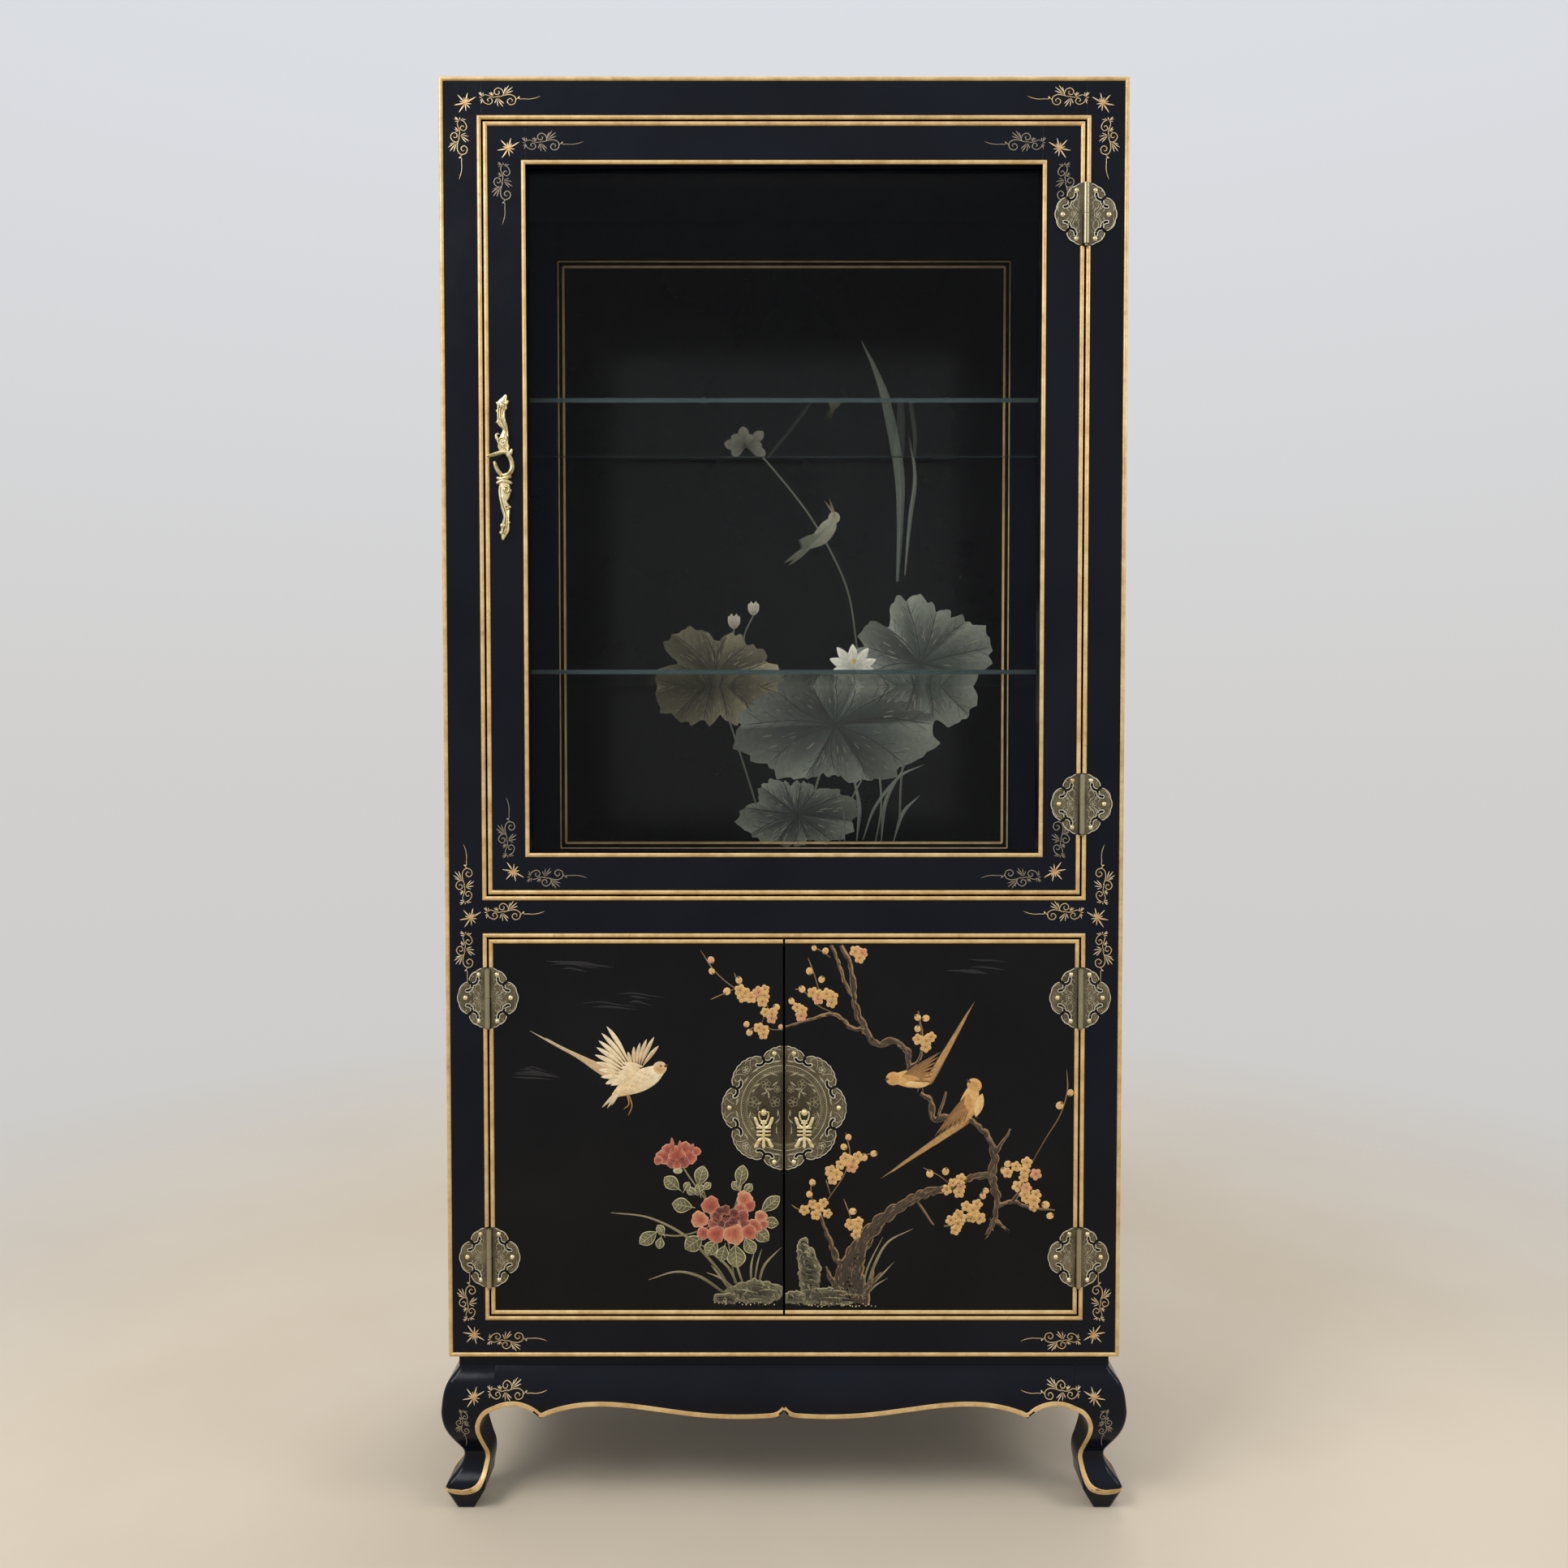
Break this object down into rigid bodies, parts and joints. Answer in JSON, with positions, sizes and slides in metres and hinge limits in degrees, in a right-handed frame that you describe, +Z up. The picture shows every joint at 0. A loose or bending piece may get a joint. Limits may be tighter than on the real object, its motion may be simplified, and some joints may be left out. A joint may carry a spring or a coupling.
{
  "type": "chinese display cabinet",
  "caption": "Black lacquer display cabinet on a stand with curved legs: a glazed door over glass shelves, painted lower doors, gilt beads, round brass hinges and drop pulls.",
  "frame": {"origin": "on the floor, under the middle of the case's width and depth", "axes": "+Z up, front towards -Y, +X to the viewer's right"},
  "size_m": [0.9192, 0.4196, 1.9],
  "materials": {
    "lacquer": "polished black lacquer",
    "painted_panel": "black lacquer with painted birds and flowers",
    "plain_panel": "plain black lacquer",
    "gilt": "gold paint on wood",
    "aged_brass": "engraved and darkened",
    "bright_brass": "polished",
    "clear_glass": "clear",
    "steel": "plain"
  },
  "bodies": {
    "case": {"leg_front_left": "lacquer", "leg_front_right": "lacquer", "leg_rear_left": "lacquer", "leg_rear_right": "lacquer", "apron_front": "lacquer", "apron_rear": "lacquer", "apron_left": "lacquer", "apron_right": "lacquer", "stand_waist": "lacquer", "side_left": "lacquer", "side_right": "lacquer", "top_board": "lacquer", "bottom_board": "lacquer", "divider_board": "lacquer", "front_stile_left": "lacquer", "front_stile_right": "lacquer", "front_rail_top": "lacquer", "front_rail_middle": "lacquer", "front_rail_bottom": "lacquer", "back_frame": "lacquer", "door_stops": "lacquer", "back_panel_upper": "painted_panel", "back_panel_lower": "plain_panel", "case_beads": "gilt", "lower_door_frame_leaves": "aged_brass", "hinge_pins": "aged_brass", "frame_nails": "bright_brass", "glass_shelf_lower": "clear_glass", "glass_shelf_upper": "clear_glass", "stand_screws": "steel", "shelf_pins": "steel", "magnet_catches": "steel", "glass_door_frame_leaves": "aged_brass"},
    "glass_door": {"glass_door_stile_left": "lacquer", "glass_door_stile_right": "lacquer", "glass_door_rail_top": "lacquer", "glass_door_rail_bottom": "lacquer", "glass_door_beads": "gilt", "glass_door_leaves": "aged_brass", "glass_door_nails": "bright_brass", "glass_door_pull": "bright_brass", "glass_door_strikes": "steel", "glass_pane": "clear_glass", "glazing_strips": "lacquer"},
    "left_door": {"left_door_board": "painted_panel", "left_door_beads": "gilt", "left_door_leaves": "aged_brass", "left_face_plate": "aged_brass", "left_door_nails": "bright_brass", "left_pull_post": "bright_brass", "left_door_strike": "steel"},
    "left_pull": {"left_pull": "bright_brass"},
    "right_door": {"right_door_board": "painted_panel", "right_door_beads": "gilt", "right_door_leaves": "aged_brass", "right_face_plate": "aged_brass", "right_door_nails": "bright_brass", "right_pull_post": "bright_brass", "right_door_strike": "steel"},
    "right_pull": {"right_pull": "bright_brass"}
  },
  "joints": [
    {"name": "glass_door_swing", "type": "hinge", "parent": "case", "child": "glass_door", "pos_m": [0.39375, -0.19905, 1], "axis": [0, 0, 1], "range_deg": [0, 170]},
    {"name": "left_door_swing", "type": "hinge", "parent": "case", "child": "left_door", "pos_m": [-0.39375, -0.19905, 1], "axis": [0, 0, -1], "range_deg": [0, 170]},
    {"name": "right_door_swing", "type": "hinge", "parent": "case", "child": "right_door", "pos_m": [0.39375, -0.19905, 1], "axis": [0, 0, 1], "range_deg": [0, 170]},
    {"name": "left_pull_swing", "type": "hinge", "parent": "left_door", "child": "left_pull", "pos_m": [-0.027, -0.2008, 0.543], "axis": [-1, 0, 0], "range_deg": [0, 80]},
    {"name": "right_pull_swing", "type": "hinge", "parent": "right_door", "child": "right_pull", "pos_m": [0.027, -0.2008, 0.543], "axis": [-1, 0, 0], "range_deg": [0, 80]}
  ]
}
